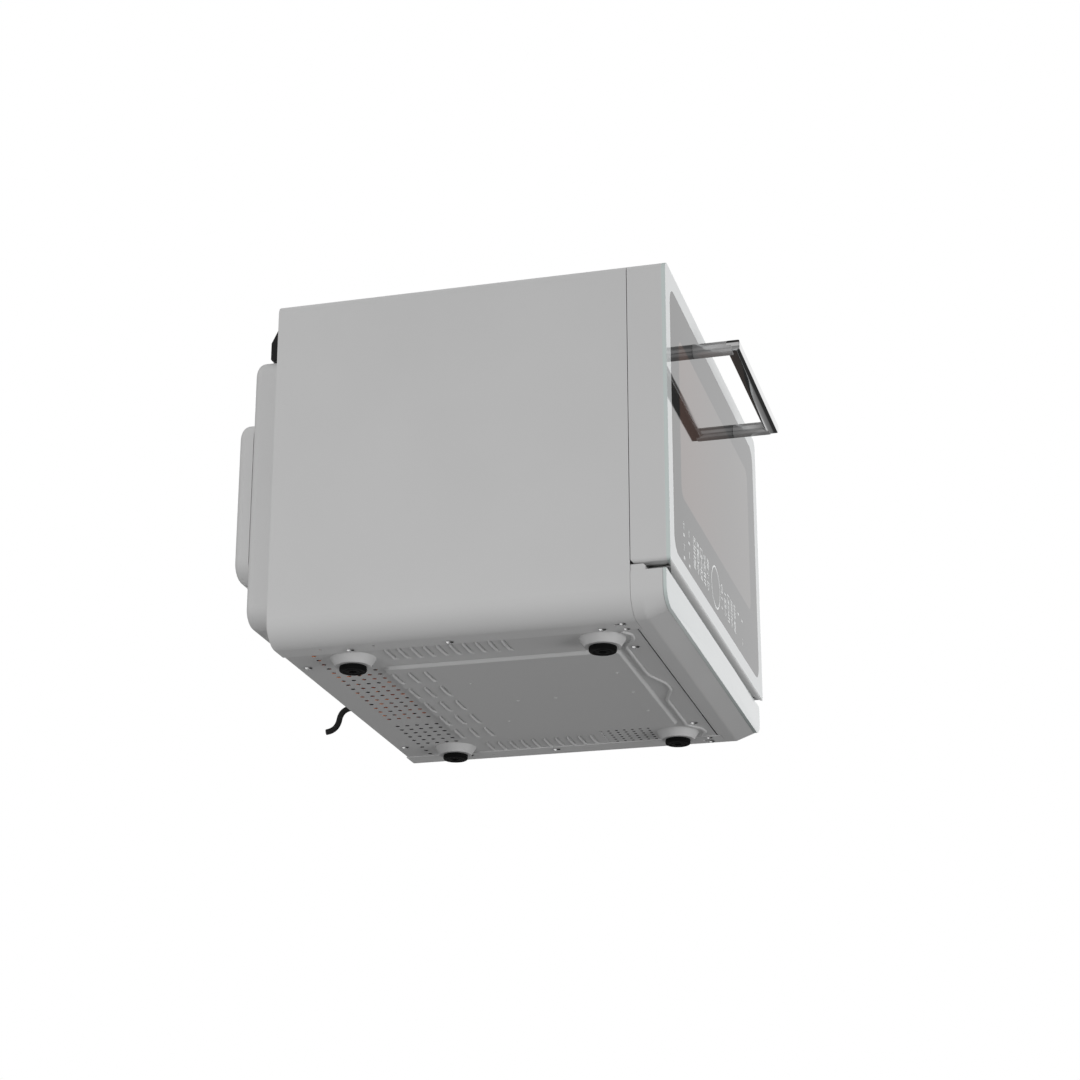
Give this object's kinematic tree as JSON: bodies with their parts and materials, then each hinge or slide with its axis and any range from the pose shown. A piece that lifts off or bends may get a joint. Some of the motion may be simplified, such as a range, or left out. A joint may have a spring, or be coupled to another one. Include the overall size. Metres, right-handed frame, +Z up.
{
  "type": "countertop reflow oven",
  "caption": "Benchtop oven: painted cabinet, drop-down double-glazed door with bow handle and touch panel, drip tray, louvred base, heaters and circulation fan.",
  "frame": {"origin": "on the table under the middle of the oven's overall width and depth, at the level of the feet's soles", "axes": "+Z up, +Y to the rear, +X to the right of someone facing the door"},
  "size_m": [0.5, 0.5044, 0.382],
  "materials": {
    "cabinet_paint": "satin powder coat",
    "galvanised_sheet": "zinc-coated sheet",
    "rubber_black": "matt",
    "zinc_screw": "bright plated",
    "black_plastic": "fine grain",
    "cavity_steel": "rolled stainless sheet",
    "insulation_wool": "matt fibre",
    "chrome_wire": "bright plated",
    "heater_sheath": "heat-darkened steel",
    "lamp_glass": "frosted",
    "ceramic": "unglazed ceramic",
    "silicone": "silicone",
    "motor_steel": "plated",
    "aluminium_wheel": "rolled",
    "board_green": "solder mask",
    "hinge_steel": "plated",
    "door_plastic": "satin",
    "front_glass": "printed on the inside",
    "clear_glass": "tinted, polished",
    "chrome_handle": "polished",
    "display_black": "gloss",
    "tray_plastic": "satin",
    "cord_black": "satin"
  },
  "bodies": {
    "cabinet": {"outer_wrap": "cabinet_paint", "base_plate": "galvanised_sheet", "base_screws": "zinc_screw", "feet": "rubber_black", "front_frame": "cavity_steel", "rear_panel": "galvanised_sheet", "rear_screws": "zinc_screw", "rear_cover": "cabinet_paint", "motor_cover": "cabinet_paint", "vent_outlet": "black_plastic", "cavity_liner": "cavity_steel", "insulation": "insulation_wool", "runner_left": "cavity_steel", "runner_right": "cavity_steel", "wire_rack": "chrome_wire", "upper_heater": "heater_sheath", "lower_heater": "heater_sheath", "lamp_lens": "lamp_glass", "lamp_holder": "ceramic", "temperature_probe": "cavity_steel", "door_gasket": "silicone", "fan_baffle": "cavity_steel", "ring_heater": "heater_sheath", "fan_motor": "motor_steel", "power_board": "board_green", "hinge_brackets": "hinge_steel", "hinge_pins": "hinge_steel", "tray_guides": "hinge_steel", "tray_catches": "tray_plastic", "cord_gland": "black_plastic", "power_cord": "cord_black"},
    "door": {"door_frame": "door_plastic", "door_glass_outer": "front_glass", "door_glass_inner": "clear_glass", "glass_retainer": "black_plastic", "hinge_leaves": "hinge_steel", "handle_bar": "chrome_handle", "handle_post_left": "chrome_handle", "handle_post_right": "chrome_handle", "handle_screws": "zinc_screw", "control_board": "board_green", "display_module": "display_black"},
    "drip_tray": {"drip_tray": "tray_plastic", "tray_front": "front_glass"},
    "fan": {"fan_wheel": "aluminium_wheel", "fan_shaft": "hinge_steel", "fan_nut": "hinge_steel"}
  },
  "joints": [
    {"name": "door_hinge", "type": "hinge", "parent": "cabinet", "child": "door", "pos_m": [0, -0.19025, 0.07275], "axis": [1, 0, 0], "range_deg": [0, 90]},
    {"name": "tray_slide", "type": "slide", "parent": "cabinet", "child": "drip_tray", "axis": [0, -1, 0], "range_m": [0, 0.06]},
    {"name": "fan_spin", "type": "hinge", "parent": "cabinet", "child": "fan", "pos_m": [0, 0.155, 0.215], "axis": [0, 1, 0], "continuous": true}
  ]
}
